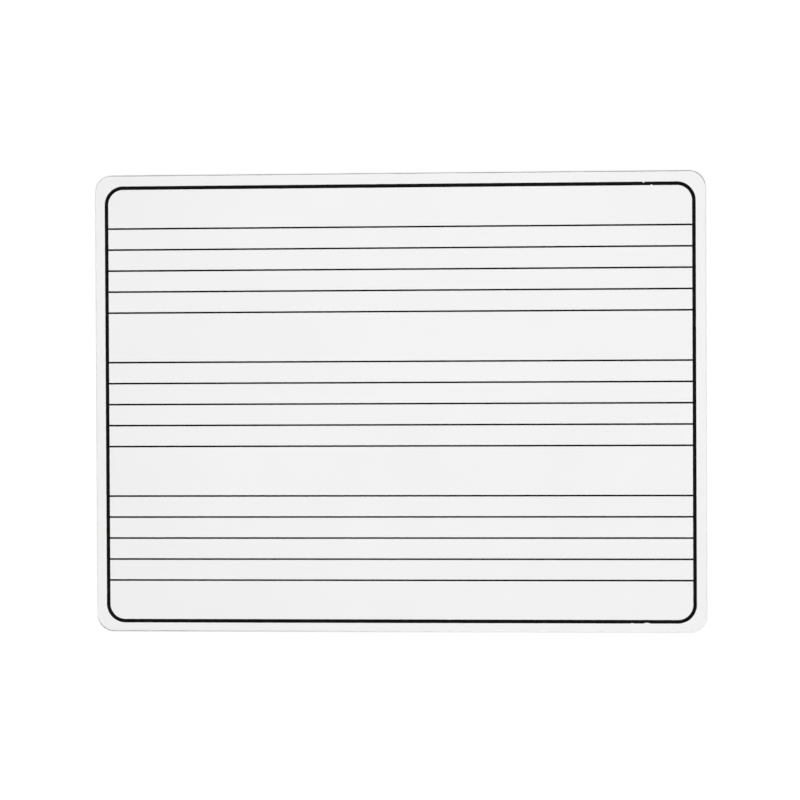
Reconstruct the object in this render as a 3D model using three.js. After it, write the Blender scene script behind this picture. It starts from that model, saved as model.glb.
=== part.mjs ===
// Music staff whiteboard: a hand-held dry-erase board printed with three blank staves in a border.
// It lies on its back with the writing face up. All sizes are in millimetres.
// The origin is the middle of the back face. +X runs along the staves, +Y to the head of the board,
// and +Z out of the writing face.
import * as THREE from 'three';
import { mergeVertices } from 'three/addons/utils/BufferGeometryUtils.js';

// Board: a hardboard core between two thin white facings, with its edges eased all round.
const boardWidth = 304.8;
const boardHeight = 228.6;
const cornerRadius = 8.4;
const coreThickness = 2.7;
const facingThickness = 0.25;
const edgeEasing = 0.35;

// Print: everything printed shares one sheet, which sits a little off the middle of the board.
const printShiftX = -0.09;
const printShiftY = -0.54;
const inkThickness = 0.04;

// Border rule.
const borderMargin = 4.88;
const borderStroke = 1.8;
const borderRadius = 9.35;

// Staves: they fill the border's height between equal margins, and share what is left as gaps.
const staffCount = 3;
const linesPerStaff = 5;
const lineSpacing = 10.54;
const lineStroke = 0.8;
const staffMargin = 20.43;

// Fineness of the round shapes.
const cornerSteps = 14;
const easingSteps = 4;
const leastStep = 0.02;

// Heights of the layers, from the back face up.
const boardThickness = coreThickness + 2 * facingThickness;
const backSeam = facingThickness;
const frontSeam = facingThickness + coreThickness;

// Border rule, measured on its outer edge.
const borderWidth = boardWidth - 2 * borderMargin;
const borderHeight = boardHeight - 2 * borderMargin;

const facingMaterial = { color: 0xf1f1f0, roughness: 0.28, metalness: 0 };
const coreMaterial = { color: 0x7d6148, roughness: 0.85, metalness: 0 };
const inkMaterial = { color: 0x161616, roughness: 0.5, metalness: 0 };

// Points of a rectangle with round corners, anticlockwise, centred on the origin.
function roundedOutline(width, height, radius) {
  const corners = [[1, 1], [-1, 1], [-1, -1], [1, -1]];
  const points = [];
  corners.forEach(([sideX, sideY], corner) => {
    const centreX = sideX * (width / 2 - radius);
    const centreY = sideY * (height / 2 - radius);
    for (let step = 0; step <= cornerSteps; step += 1) {
      const angle = (corner + step / cornerSteps) * Math.PI / 2;
      const x = centreX + radius * Math.cos(angle);
      const y = centreY + radius * Math.sin(angle);
      points.push(new THREE.Vector2(x, y));
    }
  });
  return points;
}

// How far the eased edge draws in from the board's full outline at a height.
function edgeInset(height) {
  const depth = Math.min(height, boardThickness - height);
  const reach = Math.max(0, edgeEasing - depth);
  return edgeEasing - Math.sqrt(edgeEasing ** 2 - reach ** 2);
}

// Heights from low to high at which the outline changes, with the steps of both eased edges.
function edgeHeights(low, high) {
  const inner = [];
  for (let step = 1; step <= easingSteps; step += 1) {
    const angle = (step / easingSteps) * Math.PI / 2;
    const depth = edgeEasing * (1 - Math.cos(angle));
    inner.push(depth, boardThickness - depth);
  }
  const kept = inner.filter((height) => height > low + leastStep && height < high - leastStep);
  kept.sort((a, b) => a - b);
  return [low, ...kept, high];
}

// One layer of the board between two heights, closed by a flat fan of faces at each end.
function layerGeometry(low, high) {
  const rings = edgeHeights(low, high).map((height) => {
    const inset = edgeInset(height);
    const outline = roundedOutline(boardWidth - 2 * inset, boardHeight - 2 * inset, cornerRadius - inset);
    return outline.map((point) => new THREE.Vector3(point.x, point.y, height));
  });
  const count = rings[0].length;
  const bottomMiddle = rings.length * count;
  const topMiddle = bottomMiddle + 1;
  const topRing = (rings.length - 1) * count;
  const indices = [];
  for (let place = 0; place < count; place += 1) {
    const next = (place + 1) % count;
    for (let ring = 0; ring < rings.length - 1; ring += 1) {
      const below = ring * count;
      const above = below + count;
      indices.push(below + place, below + next, above + next);
      indices.push(below + place, above + next, above + place);
    }
    indices.push(bottomMiddle, next, place);
    indices.push(topMiddle, topRing + place, topRing + next);
  }
  const vertices = [...rings.flat(), new THREE.Vector3(0, 0, low), new THREE.Vector3(0, 0, high)];
  const geometry = new THREE.BufferGeometry().setFromPoints(vertices);
  geometry.setIndex(indices);
  const closed = mergeVertices(geometry);
  closed.computeVertexNormals();
  return closed;
}

function namedMesh(name, geometry, material) {
  const mesh = new THREE.Mesh(geometry, new THREE.MeshStandardMaterial(material));
  mesh.name = name;
  return mesh;
}

// Core and facings, stacked face to face.
function makeBoard() {
  const board = new THREE.Group();
  board.add(namedMesh('back_facing', layerGeometry(0, backSeam), facingMaterial));
  board.add(namedMesh('core_board', layerGeometry(backSeam, frontSeam), coreMaterial));
  board.add(namedMesh('front_facing', layerGeometry(frontSeam, boardThickness), facingMaterial));
  return board;
}

// Border rule: one flat film of ink with round corners.
function makeBorder() {
  const innerWidth = borderWidth - 2 * borderStroke;
  const innerHeight = borderHeight - 2 * borderStroke;
  const shape = new THREE.Shape(roundedOutline(borderWidth, borderHeight, borderRadius));
  shape.holes.push(new THREE.Path(roundedOutline(innerWidth, innerHeight, borderRadius - borderStroke)));
  const geometry = new THREE.ExtrudeGeometry(shape, { depth: inkThickness, bevelEnabled: false });
  return namedMesh('border_rule', geometry, inkMaterial);
}

// Fifteen thin films of ink, each running from one side of the border to the other.
function makeStaves() {
  const staves = new THREE.Group();
  const lineLength = borderWidth - 2 * borderStroke;
  const staffHeight = (linesPerStaff - 1) * lineSpacing;
  const headLine = borderHeight / 2 - borderStroke / 2 - staffMargin;
  const staffPitch = (2 * headLine - staffHeight) / (staffCount - 1);
  for (let staff = 0; staff < staffCount; staff += 1) {
    for (let line = 0; line < linesPerStaff; line += 1) {
      const geometry = new THREE.BoxGeometry(lineLength, lineStroke, inkThickness);
      const mesh = namedMesh(`staff_${staff + 1}_line_${line + 1}`, geometry, inkMaterial);
      mesh.position.set(0, headLine - staff * staffPitch - line * lineSpacing, inkThickness / 2);
      staves.add(mesh);
    }
  }
  return staves;
}

const print = new THREE.Group();
print.position.set(printShiftX, printShiftY, boardThickness);
print.add(makeBorder(), makeStaves());

const musicStaffWhiteboard = new THREE.Group();
musicStaffWhiteboard.add(makeBoard(), print);

export default musicStaffWhiteboard;
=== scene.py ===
# Music staff whiteboard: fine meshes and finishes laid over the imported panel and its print.
# The board lies on its back: +X runs along the staves, +Y to its head and +Z out of its writing face.
# Sizes are kept in metres. Meshes are shaped in millimetres and brought to metres when they are finished.

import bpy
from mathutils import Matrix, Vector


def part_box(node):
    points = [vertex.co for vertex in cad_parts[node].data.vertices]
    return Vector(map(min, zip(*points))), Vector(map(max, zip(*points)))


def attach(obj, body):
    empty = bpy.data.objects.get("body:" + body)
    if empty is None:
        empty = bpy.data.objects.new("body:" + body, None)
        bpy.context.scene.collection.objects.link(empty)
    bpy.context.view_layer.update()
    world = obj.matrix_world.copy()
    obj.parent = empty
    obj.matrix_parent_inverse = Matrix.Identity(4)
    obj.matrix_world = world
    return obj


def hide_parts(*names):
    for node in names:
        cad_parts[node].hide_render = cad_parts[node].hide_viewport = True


bl_info = {
    "name": "Music Staff Whiteboard",
    "version": (1, 0, 0),
    "blender": (4, 5, 0),
    "location": "View3D > Sidebar > Whiteboard",
    "description": "Builds a printed dry-erase board from its panel, films and ink",
    "category": "Object",
}

import math

import bmesh
import bpy
from bpy.props import FloatProperty, FloatVectorProperty, IntProperty, PointerProperty
from mathutils import Matrix, Vector, noise

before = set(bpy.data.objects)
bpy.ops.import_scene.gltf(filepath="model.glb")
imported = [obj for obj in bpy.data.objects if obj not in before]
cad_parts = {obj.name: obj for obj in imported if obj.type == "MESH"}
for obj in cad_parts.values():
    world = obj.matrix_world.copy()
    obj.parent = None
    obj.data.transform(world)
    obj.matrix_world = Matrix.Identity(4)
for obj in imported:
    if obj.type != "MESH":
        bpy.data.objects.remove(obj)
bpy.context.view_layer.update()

BODY = "root"
MM_PER_METRE = 1000.0

CORE_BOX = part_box("core_board")
FRONT_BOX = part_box("front_facing")
BORDER_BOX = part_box("border_rule")
STAFF_NODES = sorted(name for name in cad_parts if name.startswith("staff_"))

# Wavelengths, in millimetres, of the noise by which edges stray, and the slices of it that they read.
OUTLINE_WAVELENGTH = 7.0
BORDER_WAVELENGTH = 2.6
LINE_WAVELENGTH = 2.2
OUTLINE_SEED = 3.0
BORDER_SEED = 11.0
FIRST_LINE_SEED = 20.0
LINE_SEED_STEP = 3.7
SEED_STEP_FROM_X_TO_Y = 100.3


class BoardSizes(bpy.types.PropertyGroup):
    """Sizes of the faced panel."""

    width: FloatProperty(
        name="Width", description="Length of the board along the staves",
        default=CORE_BOX[1].x - CORE_BOX[0].x, unit="LENGTH")
    height: FloatProperty(
        name="Height", description="Size of the board from foot to head",
        default=CORE_BOX[1].y - CORE_BOX[0].y, unit="LENGTH")
    thickness: FloatProperty(
        name="Thickness", description="Core and both films together",
        default=FRONT_BOX[1].z, unit="LENGTH")
    corner_radius: FloatProperty(
        name="Corner Radius", description="Radius of the four corners",
        default=0.0084, unit="LENGTH")
    edge_easing: FloatProperty(
        name="Edge Easing", description="Radius of the eased edge along both faces",
        default=0.00035, unit="LENGTH")
    corner_segments: IntProperty(
        name="Corner Segments", description="Straight steps in each round corner", default=28)
    easing_segments: IntProperty(
        name="Easing Segments", description="Straight steps across an eased edge", default=6)
    side_step: FloatProperty(
        name="Side Step", description="Length of the steps along the straight sides",
        default=0.002, unit="LENGTH")
    edge_waver: FloatProperty(
        name="Edge Waver", description="How far the sawn outline strays from true",
        default=0.00004, unit="LENGTH")


class PrintSizes(bpy.types.PropertyGroup):
    """Sizes of the printed border and staves."""

    border_stroke: FloatProperty(
        name="Border Stroke", description="Width of the border rule", default=0.0018, unit="LENGTH")
    border_radius: FloatProperty(
        name="Border Radius", description="Outer corner radius of the border rule",
        default=0.00935, unit="LENGTH")
    corner_segments: IntProperty(
        name="Corner Segments", description="Straight steps in each corner of the border", default=40)
    ink_shoulder: FloatProperty(
        name="Ink Shoulder", description="Rounding of the ink film's upper edge",
        default=0.000012, unit="LENGTH")
    shoulder_segments: IntProperty(
        name="Shoulder Segments", description="Straight steps across the rounded edge of the ink",
        default=2)
    ink_waver: FloatProperty(
        name="Ink Waver", description="How far the edge of the ink strays from true",
        default=0.000035, unit="LENGTH")
    ink_spread: FloatProperty(
        name="Ink Spread",
        description="How far the ink of a staff line has spread past its edges at its ends",
        default=0.00004, unit="LENGTH")
    print_step: FloatProperty(
        name="Print Step", description="Length of the steps along a printed edge",
        default=0.0004, unit="LENGTH")
    line_tuck: FloatProperty(
        name="Line Tuck", description="How far a staff line runs into the border",
        default=0.0002, unit="LENGTH")
    line_drop: FloatProperty(
        name="Line Drop",
        description="How much thinner the ink of a staff line is than the border's",
        default=0.000002, unit="LENGTH")


class Finishes(bpy.types.PropertyGroup):
    """Colours of the board's materials."""

    film_colour: FloatVectorProperty(
        name="Film", description="White of the dry-erase film",
        default=(0.852, 0.851, 0.851), subtype="COLOR", min=0.0, max=1.0)
    film_shade: FloatVectorProperty(
        name="Film Shade", description="Slightly greyer white in the film's mottle",
        default=(0.84, 0.839, 0.839), subtype="COLOR", min=0.0, max=1.0)
    # Dark grey of the rim: soiled film together with painted shade along the eased edge.
    rim_soil_and_shade_colour: FloatVectorProperty(
        name="Rim", description="Rubbed and soiled film along the eased edge, and painted shade there",
        default=(0.17, 0.166, 0.162), subtype="COLOR", min=0.0, max=1.0)
    fibre_colour: FloatVectorProperty(
        name="Fibre", description="Brown of the pressed fibres",
        default=(0.205, 0.125, 0.072), subtype="COLOR", min=0.0, max=1.0)
    fibre_dark: FloatVectorProperty(
        name="Dark Fibre", description="Darkest brown between the fibres",
        default=(0.075, 0.042, 0.024), subtype="COLOR", min=0.0, max=1.0)
    fibre_light: FloatVectorProperty(
        name="Light Fibre", description="Palest cut fibres",
        default=(0.36, 0.245, 0.15), subtype="COLOR", min=0.0, max=1.0)
    ink_colour: FloatVectorProperty(
        name="Ink", description="Black of the printed rules",
        default=(0.0025, 0.0025, 0.0026), subtype="COLOR", min=0.0, max=1.0)
    ink_thin: FloatVectorProperty(
        name="Thin Ink", description="Black where the ink lies thinner",
        default=(0.0075, 0.0075, 0.008), subtype="COLOR", min=0.0, max=1.0)


class StageSettings(bpy.types.PropertyGroup):
    """Camera, lamps and floor."""

    camera_place: FloatVectorProperty(
        name="Camera Place",
        description="Where the camera stands, from the middle of the writing face",
        default=(0.10339, 0.01868, 1.39132), subtype="TRANSLATION", unit="LENGTH")
    camera_turn: FloatVectorProperty(
        name="Camera Turn",
        description="Turn of the camera about X, Y and Z, away from straight down",
        default=(math.radians(-0.716), math.radians(4.228), math.radians(-0.204)),
        subtype="EULER")
    focal_length: FloatProperty(
        name="Focal Length", description="Lens of the camera in millimetres on a 36 mm sensor",
        default=126.0, unit="CAMERA")
    ambient: FloatProperty(
        name="Ambient", description="Strength of the even light from all round", default=0.17)
    softbox_power: FloatProperty(
        name="Softbox Power", description="Power of the large lamp overhead",
        default=16.0, unit="POWER")
    key_power: FloatProperty(
        name="Key Power", description="Power of the smaller lamp nearer the board",
        default=15.25, unit="POWER")
    foot_power: FloatProperty(
        name="Foot Power", description="Power of the lamp at the foot side",
        default=64.0, unit="POWER")
    floor_colour: FloatVectorProperty(
        name="Floor", description="Colour of the floor",
        default=(0.62, 0.62, 0.62), subtype="COLOR", min=0.0, max=1.0)
    floor_lift: FloatProperty(
        name="Floor Lift",
        description="What the camera sees added to the floor, so that it is white",
        default=0.5)


# Shapes. Millimetres keep the smallest bevels well above rounding.

def mm(length):
    """A length in metres as millimetres."""
    return length * MM_PER_METRE


def rounded_plate(width, height, radius, corner_segments, step):
    """A flat plate with round corners in the XY plane, its straight sides split into even steps."""
    plate = bmesh.new()
    bmesh.ops.create_grid(plate, x_segments=1, y_segments=1, size=0.5)
    bmesh.ops.scale(plate, vec=(width, height, 1.0), verts=plate.verts[:])
    bmesh.ops.bevel(
        plate, geom=plate.verts[:], offset=radius, offset_type="OFFSET",
        segments=corner_segments, profile=0.5, affect="VERTICES", material=-1)
    for side in [edge for edge in plate.edges if edge.calc_length() > 2.0 * step]:
        cuts = round(side.calc_length() / step) - 1
        bmesh.ops.subdivide_edges(plate, edges=[side], cuts=cuts)
    return plate


def waver(shape, amount, wavelength, seed):
    """Moves the points of a flat shape a little in its plane, by noise that is alike in each run."""
    slice_for_x = Vector((0.0, 0.0, seed))
    slice_for_y = Vector((0.0, 0.0, seed + SEED_STEP_FROM_X_TO_Y))
    for vert in shape.verts:
        place = vert.co / wavelength
        vert.co.x += amount * noise.noise(place + slice_for_x)
        vert.co.y += amount * noise.noise(place + slice_for_y)


def thicken(shape, height):
    """Raises a flat shape into a solid of that height."""
    flat_faces = shape.faces[:]
    raised = bmesh.ops.extrude_face_region(shape, geom=flat_faces, use_keep_orig=True)
    upper = [item for item in raised["geom"] if isinstance(item, bmesh.types.BMVert)]
    bmesh.ops.translate(shape, vec=(0.0, 0.0, height), verts=upper)
    bmesh.ops.recalc_face_normals(shape, faces=shape.faces[:])


def level_edges(shape, level):
    """The outline edges of a flat-topped solid that lie at one height."""
    tiny = 1e-4
    upright = 0.5
    found = []
    for edge in shape.edges:
        at_level = all(abs(vert.co.z - level) < tiny for vert in edge.verts)
        if at_level and any(abs(face.normal.z) < upright for face in edge.link_faces):
            found.append(edge)
    return found


def finished_piece(shape, name, material, centre, replaced):
    """Turns a shape made in millimetres about centre into a piece that rides on the board."""
    crease = math.radians(40.0)
    bmesh.ops.scale(shape, vec=Vector((1.0, 1.0, 1.0)) / MM_PER_METRE, verts=shape.verts[:])
    bmesh.ops.translate(shape, vec=centre, verts=shape.verts[:])
    for face in shape.faces:
        face.smooth = True
    for edge in shape.edges:
        edge.smooth = edge.is_manifold and edge.calc_face_angle() < crease
    mesh = bpy.data.meshes.new(name)
    shape.to_mesh(mesh)
    shape.free()
    mesh.materials.append(material)
    piece = bpy.data.objects.new(name, mesh)
    bpy.context.scene.collection.objects.link(piece)
    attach(piece, BODY)
    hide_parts(replaced)
    return piece


def eased_panel(sizes):
    """The whole panel as it leaves the saw and the sander: round corners and eased edges."""
    # Width in millimetres of the ring of faces that keeps the flat faces' shading flat up to the edge.
    flat_ring = 0.4
    panel = rounded_plate(
        mm(sizes.width), mm(sizes.height), mm(sizes.corner_radius),
        sizes.corner_segments, mm(sizes.side_step))
    waver(panel, mm(sizes.edge_waver), OUTLINE_WAVELENGTH, OUTLINE_SEED)
    thicken(panel, mm(sizes.thickness))
    rims = level_edges(panel, 0.0) + level_edges(panel, mm(sizes.thickness))
    bmesh.ops.bevel(
        panel, geom=rims, offset=mm(sizes.edge_easing), offset_type="OFFSET",
        segments=sizes.easing_segments, profile=0.5, affect="EDGES", material=-1)
    flats = sorted(panel.faces, key=lambda face: face.calc_area())[-2:]
    bmesh.ops.inset_individual(panel, faces=flats, thickness=flat_ring, use_even_offset=True)
    return panel


def keep_order(shape):
    """Sorts edges and faces by place along a skew line, because a cut leaves them in no fixed order."""
    skew = Vector((1.0, 0.61, 0.37))
    shape.edges.sort(key=lambda edge: (edge.verts[0].co + edge.verts[1].co).dot(skew))
    shape.faces.sort(key=lambda face: face.calc_center_median().dot(skew))


def cut_layer(panel, low, high):
    """The slice of the panel between two heights, with its cut faces closed."""
    layer = panel.copy()
    bottom = min(vert.co.z for vert in layer.verts)
    top = max(vert.co.z for vert in layer.verts)
    margin = 1e-3
    for level, outward in ((low, -1.0), (high, 1.0)):
        if level < bottom + margin or level > top - margin:
            continue
        parts = layer.verts[:] + layer.edges[:] + layer.faces[:]
        cut = bmesh.ops.bisect_plane(
            layer, geom=parts, dist=margin, plane_co=(0.0, 0.0, level),
            plane_no=(0.0, 0.0, outward), clear_outer=True)
        rim = [item for item in cut["geom_cut"] if isinstance(item, bmesh.types.BMEdge)]
        bmesh.ops.edgeloop_fill(layer, edges=rim)
    bmesh.ops.recalc_face_normals(layer, faces=layer.faces[:])
    keep_order(layer)
    return layer


def build_layer(name, material, node):
    """One layer of the panel, cut between the heights that its node holds."""
    sizes = bpy.context.scene.whiteboard_sizes
    low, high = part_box(node)
    panel = eased_panel(sizes)
    layer = cut_layer(panel, mm(low.z), mm(high.z))
    panel.free()
    return finished_piece(layer, name, material, Vector((0.0, 0.0, 0.0)), node)


def raise_ink(shape, film, sizes):
    """Gives flat ink the thickness of its film and rounds its upper edge."""
    thicken(shape, film)
    bmesh.ops.bevel(
        shape, geom=level_edges(shape, film), offset=mm(sizes.ink_shoulder), offset_type="OFFSET",
        segments=sizes.shoulder_segments, profile=0.5, affect="EDGES", material=-1)


def nick(shape, place, reach, push):
    """Dents the edge of flat ink: its outline near a place is split finely and pushed inwards."""
    near = [edge for edge in shape.edges
            if edge.is_boundary and min((vert.co - place).length for vert in edge.verts) < reach]
    bmesh.ops.subdivide_edges(shape, edges=near, cuts=4)
    for vert in shape.verts:
        share = max(0.0, 1.0 - ((vert.co - place).length / reach) ** 2)
        vert.co += push * share ** 2


def build_border(material):
    """The printed border rule, a flat loop of ink with a few nicks in its edges."""
    sizes = bpy.context.scene.whiteboard_print
    low, high = BORDER_BOX
    centre = Vector(((low.x + high.x) / 2.0, (low.y + high.y) / 2.0, low.z))
    loop = rounded_plate(
        mm(high.x - low.x), mm(high.y - low.y), mm(sizes.border_radius),
        sizes.corner_segments, mm(sizes.print_step))
    middle = loop.faces[:]
    bmesh.ops.inset_region(
        loop, faces=middle, thickness=mm(sizes.border_stroke),
        use_boundary=True, use_even_offset=True)
    bmesh.ops.delete(loop, geom=middle, context="FACES_ONLY")
    waver(loop, mm(sizes.ink_waver), BORDER_WAVELENGTH, BORDER_SEED)
    head_edge = mm(high.y - centre.y)
    head_inner_edge = head_edge - mm(sizes.border_stroke)
    foot_edge = -head_edge
    # Each nick's place along X and Y, its reach round that place and its push along Y, in millimetres.
    nicks = (
        (121.82, head_edge, 0.6, -0.55),
        (125.81, head_inner_edge, 0.9, 0.4),
        (122.87, foot_edge, 2.3, 0.4),
        (115.47, foot_edge, 1.1, 0.22),
    )
    for x, y, reach, push in nicks:
        nick(loop, Vector((x, y, 0.0)), reach, Vector((0.0, push, 0.0)))
    raise_ink(loop, mm(high.z - low.z), sizes)
    return finished_piece(loop, "border_rule_ink", material, centre, "border_rule")


def build_staff_line(node, material, seed):
    """One printed staff line, a thin stripe of ink that runs into the border at both ends."""
    spread_at_middle = 0.3
    sizes = bpy.context.scene.whiteboard_print
    low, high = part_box(node)
    centre = Vector(((low.x + high.x) / 2.0, (low.y + high.y) / 2.0, low.z))
    length = high.x - low.x + 2.0 * sizes.line_tuck
    stripe = bmesh.new()
    steps = round(length / sizes.print_step)
    bmesh.ops.create_grid(stripe, x_segments=steps, y_segments=1, size=0.5)
    bmesh.ops.scale(stripe, vec=(mm(length), mm(high.y - low.y), 1.0), verts=stripe.verts[:])
    for vert in stripe.verts:
        off_middle = 2.0 * vert.co.x / mm(length)
        share = spread_at_middle + (1.0 - spread_at_middle) * off_middle ** 2
        vert.co.y += math.copysign(mm(sizes.ink_spread) * share, vert.co.y)
    waver(stripe, mm(sizes.ink_waver), LINE_WAVELENGTH, seed)
    raise_ink(stripe, mm(high.z - low.z - sizes.line_drop), sizes)
    return finished_piece(stripe, node + "_ink", material, centre, node)


# Materials.

def add_node(tree, kind, values=None, **settings):
    """A new node with its settings and the values of its inputs."""
    node = tree.nodes.new(kind)
    for name, value in settings.items():
        setattr(node, name, value)
    for socket, value in (values or {}).items():
        node.inputs[socket].default_value = value
    return node


def new_group(name, inputs, outputs):
    """An empty shader group with named float and vector sockets, and its two end nodes."""
    group = bpy.data.node_groups.new(name, "ShaderNodeTree")
    for socket, kind, value in inputs:
        made = group.interface.new_socket(name=socket, in_out="INPUT", socket_type=kind)
        if value is not None:
            made.default_value = value
    for socket, kind in outputs:
        group.interface.new_socket(name=socket, in_out="OUTPUT", socket_type=kind)
    return group, group.nodes.new("NodeGroupInput"), group.nodes.new("NodeGroupOutput")


def place_group(tree, name, position, values):
    """Puts a shader group into a material, fed with a position and its own values."""
    node = add_node(tree, "ShaderNodeGroup", node_tree=bpy.data.node_groups[name])
    tree.links.new(position, node.inputs["Position"])
    for socket, value in values.items():
        node.inputs[socket].default_value = value
    return node


def add_math(tree, operation, first, second, clamp=False):
    """The output of a Math node; first and second are sockets or numbers."""
    node = add_node(tree, "ShaderNodeMath", operation=operation, use_clamp=clamp)
    for socket, value in zip(node.inputs, (first, second)):
        if isinstance(value, bpy.types.NodeSocket):
            tree.links.new(value, socket)
        else:
            socket.default_value = value
    return node.outputs["Value"]


def add_noise(tree, position, scale, detail, roughness=0.5):
    """The grey value of a noise texture at a position."""
    node = add_node(
        tree, "ShaderNodeTexNoise", {"Scale": scale, "Detail": detail, "Roughness": roughness})
    tree.links.new(position, node.inputs["Vector"])
    return node.outputs["Fac"]


def add_range(tree, value, given, wanted, smooth=False):
    """A value carried from one range to another and held at its ends, which are sockets or numbers."""
    kind = "SMOOTHSTEP" if smooth else "LINEAR"
    node = add_node(tree, "ShaderNodeMapRange", interpolation_type=kind, clamp=True)
    ends = {"Value": value, "From Min": given[0], "From Max": given[1],
            "To Min": wanted[0], "To Max": wanted[1]}
    for socket, end in ends.items():
        if isinstance(end, bpy.types.NodeSocket):
            tree.links.new(end, node.inputs[socket])
        else:
            node.inputs[socket].default_value = end
    return node.outputs["Result"]


def add_colour_mix(tree, factor, first, second):
    """Two colours mixed by a factor; each colour is a socket or three numbers."""
    node = add_node(tree, "ShaderNodeMix", data_type="RGBA")
    tree.links.new(factor, node.inputs["Factor"])
    for socket, colour in ((node.inputs[6], first), (node.inputs[7], second)):
        if isinstance(colour, bpy.types.NodeSocket):
            tree.links.new(colour, socket)
        else:
            socket.default_value = (*colour, 1.0)
    return node.outputs[2]


def add_stretch(tree, position, scale, turn=0.0):
    """A position stretched along the axes, after a turn about Z."""
    node = add_node(tree, "ShaderNodeMapping", {"Scale": scale, "Rotation": (0.0, 0.0, turn)})
    tree.links.new(position, node.inputs["Vector"])
    return node.outputs["Vector"]


def make_rim_soil_and_shade_group():
    """Group that masks the rim's soiling and painted shade in a band along the outline of a plate with
    round corners.

    The mark is strongest along the head and foot and round one pair of opposite corners, and fades
    towards an unmarked place.
    """
    patch_scale = 70.0
    unmarked_within = 0.15
    marked_beyond = 0.29
    corner_start = 0.77
    group, given, result = new_group(
        "Rim Soiling and Shade",
        [("Position", "NodeSocketVector", None),
         ("Flat Half", "NodeSocketVector", (0.1, 0.1, 0.0)),
         ("Corner Radius", "NodeSocketFloat", 0.01),
         ("Band", "NodeSocketFloat", 0.0005),
         ("Amount", "NodeSocketFloat", 1.0),
         ("Side Share", "NodeSocketFloat", 0.3),
         ("Corner Amount", "NodeSocketFloat", 0.5),
         ("Dark Diagonal", "NodeSocketVector", (0.7, 0.7, 0.0)),
         ("Unmarked Place", "NodeSocketVector", (0.1, -0.2, 0.0))],
        [("Mask", "NodeSocketFloat")])
    absolute = add_node(group, "ShaderNodeVectorMath", operation="ABSOLUTE")
    past_flat = add_node(group, "ShaderNodeVectorMath", operation="SUBTRACT")
    outside = add_node(group, "ShaderNodeVectorMath", operation="MAXIMUM")
    in_plane = add_node(group, "ShaderNodeVectorMath", operation="MULTIPLY")
    in_plane.inputs[1].default_value = (1.0, 1.0, 0.0)
    reach = add_node(group, "ShaderNodeVectorMath", operation="LENGTH")
    group.links.new(given.outputs["Position"], absolute.inputs[0])
    group.links.new(absolute.outputs["Vector"], past_flat.inputs[0])
    group.links.new(given.outputs["Flat Half"], past_flat.inputs[1])
    group.links.new(past_flat.outputs["Vector"], outside.inputs[0])
    group.links.new(outside.outputs["Vector"], in_plane.inputs[0])
    group.links.new(in_plane.outputs["Vector"], reach.inputs[0])
    inward = add_math(group, "SUBTRACT", given.outputs["Corner Radius"], reach.outputs["Value"])
    patches = add_noise(group, given.outputs["Position"], patch_scale, detail=4.0, roughness=0.6)
    spread = add_range(group, patches, (0.3, 0.7), (0.7, 1.3))
    band = add_math(group, "MULTIPLY", spread, given.outputs["Band"])
    near = add_range(group, inward, (0.0, band), (1.0, 0.0), smooth=True)
    along_y = add_node(group, "ShaderNodeSeparateXYZ")
    group.links.new(in_plane.outputs["Vector"], along_y.inputs["Vector"])
    facing = add_math(group, "DIVIDE", along_y.outputs["Y"], reach.outputs["Value"])
    side = add_range(group, facing, (0.0, 1.0), (given.outputs["Side Share"], 1.0))
    from_unmarked = add_node(group, "ShaderNodeVectorMath", operation="DISTANCE")
    group.links.new(given.outputs["Position"], from_unmarked.inputs[0])
    group.links.new(given.outputs["Unmarked Place"], from_unmarked.inputs[1])
    marked_share = add_range(
        group, from_unmarked.outputs["Value"], (unmarked_within, marked_beyond), (0.0, 1.0))
    marked_side = add_math(group, "MULTIPLY", side, marked_share)
    straight = add_math(group, "MULTIPLY", marked_side, given.outputs["Amount"])
    quadrant = add_node(group, "ShaderNodeVectorMath", operation="SIGN")
    signed = add_node(group, "ShaderNodeVectorMath", operation="MULTIPLY")
    outward = add_node(group, "ShaderNodeVectorMath", operation="NORMALIZE")
    along_diagonal = add_node(group, "ShaderNodeVectorMath", operation="DOT_PRODUCT")
    group.links.new(given.outputs["Position"], quadrant.inputs[0])
    group.links.new(in_plane.outputs["Vector"], signed.inputs[0])
    group.links.new(quadrant.outputs["Vector"], signed.inputs[1])
    group.links.new(signed.outputs["Vector"], outward.inputs[0])
    group.links.new(outward.outputs["Vector"], along_diagonal.inputs[0])
    group.links.new(given.outputs["Dark Diagonal"], along_diagonal.inputs[1])
    either_end = add_math(group, "ABSOLUTE", along_diagonal.outputs["Value"], 0.0)
    corner = add_range(
        group, either_end, (corner_start, 1.0), (0.0, given.outputs["Corner Amount"]), smooth=True)
    # Soiling and painted shade of the rim together: the straight sides and the two corners.
    soil_and_shade = add_math(group, "ADD", straight, corner)
    mask = add_math(group, "MULTIPLY", near, soil_and_shade, clamp=True)
    group.links.new(mask, result.inputs["Mask"])


def make_film_group():
    """Group for the uneven skin of a film: a slow mottle and a fine orange peel."""
    group, given, result = new_group(
        "Film Skin",
        [("Position", "NodeSocketVector", None),
         ("Mottle Scale", "NodeSocketFloat", 16.0),
         ("Peel Scale", "NodeSocketFloat", 420.0)],
        [("Mottle", "NodeSocketFloat"), ("Peel", "NodeSocketFloat")])
    mottle = add_node(group, "ShaderNodeTexNoise", {"Detail": 4.0, "Roughness": 0.55})
    peel = add_node(group, "ShaderNodeTexNoise", {"Detail": 2.0, "Roughness": 0.5})
    for texture, scale in ((mottle, "Mottle Scale"), (peel, "Peel Scale")):
        group.links.new(given.outputs["Position"], texture.inputs["Vector"])
        group.links.new(given.outputs[scale], texture.inputs["Scale"])
    mottled = add_range(group, mottle.outputs["Fac"], (0.3, 0.7), (0.0, 1.0))
    group.links.new(mottled, result.inputs["Mottle"])
    group.links.new(peel.outputs["Fac"], result.inputs["Peel"])


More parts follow.
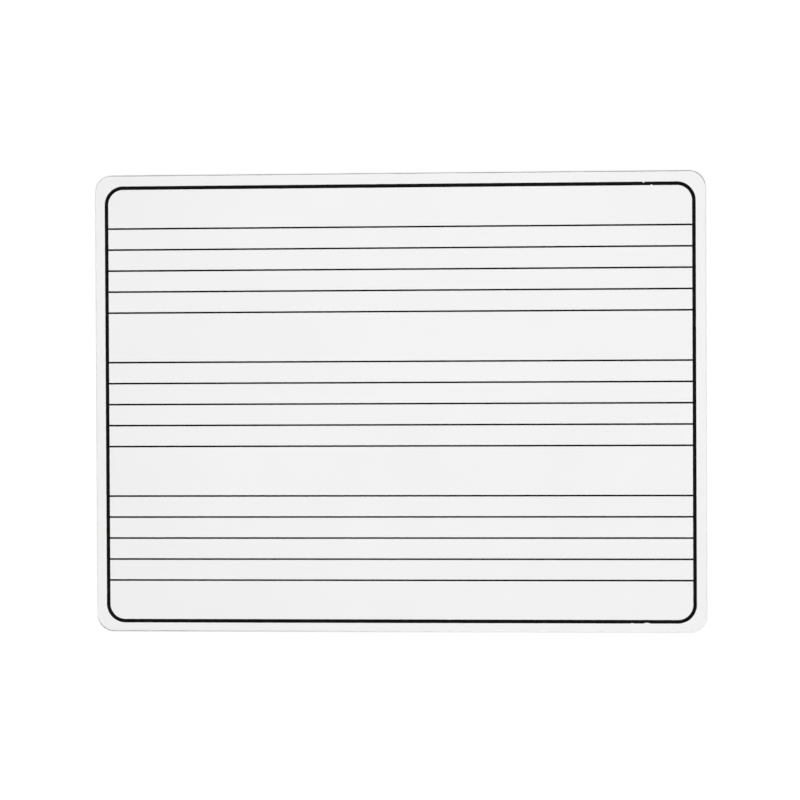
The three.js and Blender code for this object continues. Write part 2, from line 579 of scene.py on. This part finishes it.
def make_scuff_group():
    """Group that masks fine scratches in two directions, which come and go in patches."""
    group, given, result = new_group(
        "Fine Scuffs",
        [("Position", "NodeSocketVector", None), ("Amount", "NodeSocketFloat", 0.5)],
        [("Mask", "NodeSocketFloat")])
    position = given.outputs["Position"]
    patch_noise = add_noise(group, position, 24.0, detail=3.0)
    patches = add_range(group, patch_noise, (0.48, 0.68), (0.0, 1.0), smooth=True)
    # Each set of scratches has its turn about Z and its scales along and across the scratches.
    scratches = ((0.35, 26.0, 2300.0), (-0.9, 34.0, 1900.0))
    strokes = []
    for turn, along, across in scratches:
        stretched = add_stretch(group, position, (along, across, 1.0), turn)
        scratch_noise = add_noise(group, stretched, 1.0, detail=2.0)
        strokes.append(add_range(group, scratch_noise, (0.63, 0.70), (0.0, 1.0)))
    both = add_math(group, "MAXIMUM", strokes[0], strokes[1])
    patched = add_math(group, "MULTIPLY", both, patches)
    mask = add_math(group, "MULTIPLY", patched, given.outputs["Amount"], clamp=True)
    group.links.new(mask, result.inputs["Mask"])


def new_material(name, values):
    """A material with a Principled shader set to constant values, and its Object coordinates."""
    material = bpy.data.materials.new(name)
    material.use_nodes = True
    tree = material.node_tree
    shader = tree.nodes["Principled BSDF"]
    for socket, value in values.items():
        shader.inputs[socket].default_value = value
    place = add_node(tree, "ShaderNodeTexCoord")
    return material, tree, shader, place.outputs["Object"]


def add_bump(tree, shader, height, distance):
    """Feeds the shader's normal from a height, whose full range stands for a distance."""
    bump = add_node(tree, "ShaderNodeBump", {"Strength": 1.0, "Distance": distance})
    tree.links.new(height, bump.inputs["Height"])
    tree.links.new(bump.outputs["Normal"], shader.inputs["Normal"])


def make_film_material(name, scuffs, soil_and_shade, unmarked_place):
    """White dry-erase film: a smooth skin with a faint mottle, fine scuffs, and a rim darkened by soiling
    and painted shade.
    """
    colours = bpy.context.scene.whiteboard_finishes
    sizes = bpy.context.scene.whiteboard_sizes
    material, tree, shader, position = new_material(
        name, {"IOR": 1.5, "Coat Weight": 0.2, "Coat Roughness": 0.12})
    radius = sizes.corner_radius
    flat_half = (sizes.width / 2.0 - radius, sizes.height / 2.0 - radius, 0.0)
    dark_turn = math.radians(40.0)
    dark_diagonal = (math.cos(dark_turn), math.sin(dark_turn), 0.0)
    corner_share = 0.65
    scuff_roughness = 0.25
    skin = place_group(tree, "Film Skin", position, {})
    marks = place_group(tree, "Fine Scuffs", position, {"Amount": scuffs})
    rim = place_group(
        tree, "Rim Soiling and Shade", position,
        {"Flat Half": flat_half, "Corner Radius": radius, "Band": 0.0006,
         "Amount": soil_and_shade, "Side Share": 0.1, "Corner Amount": corner_share * soil_and_shade,
         "Dark Diagonal": dark_diagonal, "Unmarked Place": unmarked_place})
    white = add_colour_mix(tree, skin.outputs["Mottle"], colours.film_colour, colours.film_shade)
    worn = add_colour_mix(tree, marks.outputs["Mask"], white, colours.film_shade)
    # The rim is darkened by soiling and by painted shade along the eased edge.
    soiled_and_shaded = add_colour_mix(tree, rim.outputs["Mask"], worn, colours.rim_soil_and_shade_colour)
    tree.links.new(soiled_and_shaded, shader.inputs["Base Color"])
    sheen = add_range(tree, skin.outputs["Mottle"], (0.0, 1.0), (0.27, 0.34))
    rubbed = add_math(tree, "MULTIPLY_ADD", marks.outputs["Mask"], scuff_roughness)
    tree.links.new(sheen, rubbed.node.inputs[2])
    tree.links.new(rubbed, shader.inputs["Roughness"])
    add_bump(tree, shader, skin.outputs["Peel"], distance=0.000006)
    return material


def make_fibre_material():
    """Cut edge of pressed-fibre hardboard: brown, streaked, and darker at its pressed skins."""
    colours = bpy.context.scene.whiteboard_finishes
    half = (CORE_BOX[1].z - CORE_BOX[0].z) / 2.0
    middle = CORE_BOX[0].z + half
    streak_scale = (700.0, 700.0, 5200.0)
    fleck_scale = (2400.0, 2400.0, 9000.0)
    cutter_scale = (1700.0, 1700.0, 40.0)
    skin_start = 0.55 * half
    skin_strength = 0.55
    material, tree, shader, position = new_material("Hardboard Edge", {"Specular IOR Level": 0.25})
    along_streaks = add_stretch(tree, position, streak_scale)
    streaks = add_noise(tree, along_streaks, 1.0, detail=6.0, roughness=0.68)
    along_flecks = add_stretch(tree, position, fleck_scale)
    flecks = add_noise(tree, along_flecks, 1.0, detail=3.0, roughness=0.6)
    along_cutter = add_stretch(tree, position, cutter_scale)
    cutter_marks = add_noise(tree, along_cutter, 1.0, detail=1.0)
    slow = add_noise(tree, position, 60.0, detail=3.0)
    streaked = add_range(tree, streaks, (0.36, 0.62), (0.0, 1.0))
    body = add_colour_mix(tree, streaked, colours.fibre_dark, colours.fibre_colour)
    flecked = add_range(tree, flecks, (0.54, 0.72), (0.0, 1.0))
    pale = add_math(tree, "MULTIPLY", flecked, add_range(tree, slow, (0.3, 0.7), (0.3, 0.8)))
    fibres = add_colour_mix(tree, pale, body, colours.fibre_light)
    height = add_node(tree, "ShaderNodeSeparateXYZ")
    tree.links.new(position, height.inputs["Vector"])
    above_middle = add_math(tree, "SUBTRACT", height.outputs["Z"], middle)
    off_middle = add_math(tree, "ABSOLUTE", above_middle, 0.0)
    skin = add_range(tree, off_middle, (skin_start, half), (0.0, skin_strength))
    tree.links.new(add_colour_mix(tree, skin, fibres, colours.fibre_dark), shader.inputs["Base Color"])
    tree.links.new(add_range(tree, streaks, (0.3, 0.7), (0.92, 0.74)), shader.inputs["Roughness"])
    relief = add_math(tree, "ADD", add_math(tree, "ADD", streaks, flecks), cutter_marks)
    add_bump(tree, shader, relief, distance=0.00006)
    return material


def make_ink_material():
    """Black screen ink, a little thinner in places and not quite smooth."""
    colours = bpy.context.scene.whiteboard_finishes
    material, tree, shader, position = new_material("Black Ink", {"Specular IOR Level": 0.04})
    density = add_noise(tree, position, 240.0, detail=4.0, roughness=0.6)
    grain = add_noise(tree, position, 5200.0, detail=2.0)
    thin = add_range(tree, density, (0.4, 0.72), (0.0, 1.0))
    black = add_colour_mix(tree, thin, colours.ink_colour, colours.ink_thin)
    tree.links.new(black, shader.inputs["Base Color"])
    tree.links.new(add_range(tree, grain, (0.3, 0.7), (0.42, 0.55)), shader.inputs["Roughness"])
    add_bump(tree, shader, grain, distance=0.000004)
    return material


def black_ink():
    """The ink that the border and the staves share, made the first time that it is asked for."""
    return bpy.data.materials.get("Black Ink") or make_ink_material()


# Stage.

def rays_that_see_white(tree):
    """One for camera, glossy and transmission rays, which see white surroundings, and else zero."""
    path = add_node(tree, "ShaderNodeLightPath")
    seen = add_math(tree, "MAXIMUM", path.outputs["Is Camera Ray"], path.outputs["Is Glossy Ray"])
    return add_math(tree, "MAXIMUM", seen, path.outputs["Is Transmission Ray"])


def make_floor(settings):
    """A wide pale floor that keeps the board's shadow and reads white to the camera."""
    floor_size = 12.0
    clearance = 0.00002
    shadow_reach = 0.4
    white_from = 1.6
    plane = bmesh.new()
    bmesh.ops.create_grid(plane, x_segments=8, y_segments=8, size=floor_size / 2.0)
    bmesh.ops.translate(plane, vec=(0.0, 0.0, -clearance), verts=plane.verts[:])
    mesh = bpy.data.meshes.new("floor")
    plane.to_mesh(mesh)
    plane.free()
    material, tree, shader, position = new_material(
        "Floor",
        {"Base Color": (*settings.floor_colour, 1.0), "Roughness": 0.9, "Specular IOR Level": 0.0,
         "Emission Color": (1.0, 1.0, 1.0, 1.0)})
    distance = add_node(tree, "ShaderNodeVectorMath", operation="LENGTH")
    tree.links.new(position, distance.inputs[0])
    lift = add_range(
        tree, distance.outputs["Value"], (shadow_reach, white_from), (settings.floor_lift, 1.0))
    seen_lift = add_math(tree, "MULTIPLY", rays_that_see_white(tree), lift)
    tree.links.new(seen_lift, shader.inputs["Emission Strength"])
    mesh.materials.append(material)
    floor = bpy.data.objects.new("floor", mesh)
    bpy.context.scene.collection.objects.link(floor)


def make_world(settings):
    """Even light from all round, which the camera and reflections see as white."""
    world = bpy.data.worlds.new("Studio")
    world.use_nodes = True
    tree = world.node_tree
    background = tree.nodes["Background"]
    background.inputs["Color"].default_value = (1.0, 1.0, 1.0, 1.0)
    strength = add_range(tree, rays_that_see_white(tree), (0.0, 1.0), (settings.ambient, 1.0))
    tree.links.new(strength, background.inputs["Strength"])
    bpy.context.scene.world = world


def make_lamp(name, place, size, power):
    """A square soft lamp that faces the middle of the board, and that reflections don't show."""
    data = bpy.data.lights.new(name, "AREA")
    data.shape = "SQUARE"
    data.size = size
    data.energy = power
    lamp = bpy.data.objects.new(name, data)
    lamp.location = place
    lamp.rotation_euler = (-Vector(place)).to_track_quat("-Z", "Y").to_euler()
    lamp.visible_camera = False
    lamp.visible_glossy = False
    bpy.context.scene.collection.objects.link(lamp)


def make_camera(settings):
    """The camera at the photograph's angle, almost straight above the board."""
    data = bpy.data.cameras.new("Camera")
    data.lens = settings.focal_length
    data.sensor_width = 36.0
    data.clip_start = 0.05
    data.clip_end = 60.0
    camera = bpy.data.objects.new("Camera", data)
    face = Vector((0.0, 0.0, FRONT_BOX[1].z))
    turn_x, turn_y, turn_z = settings.camera_turn
    turn = (Matrix.Rotation(turn_x, 4, "X")
            @ Matrix.Rotation(turn_y, 4, "Y")
            @ Matrix.Rotation(turn_z, 4, "Z"))
    camera.matrix_world = Matrix.Translation(face + Vector(settings.camera_place)) @ turn
    bpy.context.scene.collection.objects.link(camera)
    bpy.context.scene.camera = camera


class WHITEBOARD_OT_stage(bpy.types.Operator):
    """Add the floor, the lamps and the camera"""

    bl_idname = "whiteboard.stage"
    bl_label = "Stage"

    def execute(self, context):
        settings = context.scene.whiteboard_stage
        context.scene.view_settings.view_transform = "Standard"
        make_camera(settings)
        make_world(settings)
        make_floor(settings)
        make_lamp("Softbox", place=(0.1, 0.25, 2.4), size=3.2, power=settings.softbox_power)
        make_lamp("Key Lamp", place=(0.06, 0.17, 1.6), size=1.0, power=settings.key_power)
        make_lamp("Foot Lamp", place=(0.4, -4.0, 2.6), size=2.0, power=settings.foot_power)
        return {"FINISHED"}


class WHITEBOARD_OT_core(bpy.types.Operator):
    """Build the hardboard core"""

    bl_idname = "whiteboard.core"
    bl_label = "Core"

    def execute(self, context):
        build_layer("core_board_panel", make_fibre_material(), "core_board")
        return {"FINISHED"}


class WHITEBOARD_OT_films(bpy.types.Operator):
    """Build the white films on the front and the back"""

    bl_idname = "whiteboard.films"
    bl_label = "Films"

    def execute(self, context):
        make_rim_soil_and_shade_group()
        make_film_group()
        make_scuff_group()
        sizes = context.scene.whiteboard_sizes
        # Past the right end of the foot on the front, and opposite it on the back, the rim's soiling and
        # painted shade fade out.
        beyond = 0.08
        unmarked_spot = Vector((sizes.width / 2.0, -sizes.height / 2.0 - beyond, 0.0))
        front = make_film_material("Front Film", scuffs=0.35, soil_and_shade=1.1, unmarked_place=unmarked_spot)
        back = make_film_material("Back Film", scuffs=1.0, soil_and_shade=0.8, unmarked_place=-unmarked_spot)
        build_layer("front_facing_film", front, "front_facing")
        build_layer("back_facing_film", back, "back_facing")
        return {"FINISHED"}


class WHITEBOARD_OT_border(bpy.types.Operator):
    """Print the border rule"""

    bl_idname = "whiteboard.border"
    bl_label = "Border"

    def execute(self, context):
        build_border(black_ink())
        return {"FINISHED"}


class WHITEBOARD_OT_staves(bpy.types.Operator):
    """Print the lines of the staves"""

    bl_idname = "whiteboard.staves"
    bl_label = "Staves"

    def execute(self, context):
        for place, node in enumerate(STAFF_NODES):
            build_staff_line(node, black_ink(), FIRST_LINE_SEED + LINE_SEED_STEP * place)
        return {"FINISHED"}


class WHITEBOARD_PT_panel(bpy.types.Panel):
    """Buttons and sizes of the whiteboard"""

    bl_idname = "WHITEBOARD_PT_panel"
    bl_label = "Music Staff Whiteboard"
    bl_space_type = "VIEW_3D"
    bl_region_type = "UI"
    bl_category = "Whiteboard"

    def draw(self, context):
        layout = self.layout
        for settings in (context.scene.whiteboard_sizes, context.scene.whiteboard_print,
                         context.scene.whiteboard_finishes, context.scene.whiteboard_stage):
            box = layout.box()
            for name in settings.__annotations__:
                box.prop(settings, name)
        for operator in OPERATORS:
            layout.operator(operator.bl_idname)


PROPERTY_GROUPS = {
    "whiteboard_sizes": BoardSizes,
    "whiteboard_print": PrintSizes,
    "whiteboard_finishes": Finishes,
    "whiteboard_stage": StageSettings,
}
OPERATORS = (
    WHITEBOARD_OT_stage,
    WHITEBOARD_OT_core,
    WHITEBOARD_OT_films,
    WHITEBOARD_OT_border,
    WHITEBOARD_OT_staves,
)


def register():
    for name, kind in PROPERTY_GROUPS.items():
        bpy.utils.register_class(kind)
        setattr(bpy.types.Scene, name, PointerProperty(type=kind))
    for kind in (*OPERATORS, WHITEBOARD_PT_panel):
        bpy.utils.register_class(kind)


def unregister():
    for kind in (WHITEBOARD_PT_panel, *reversed(OPERATORS)):
        bpy.utils.unregister_class(kind)
    for name, kind in reversed(PROPERTY_GROUPS.items()):
        delattr(bpy.types.Scene, name)
        bpy.utils.unregister_class(kind)


def main():
    register()
    bpy.ops.whiteboard.stage()
    bpy.ops.whiteboard.core()
    bpy.ops.whiteboard.films()
    bpy.ops.whiteboard.border()
    bpy.ops.whiteboard.staves()


if __name__ == "__main__":
    main()
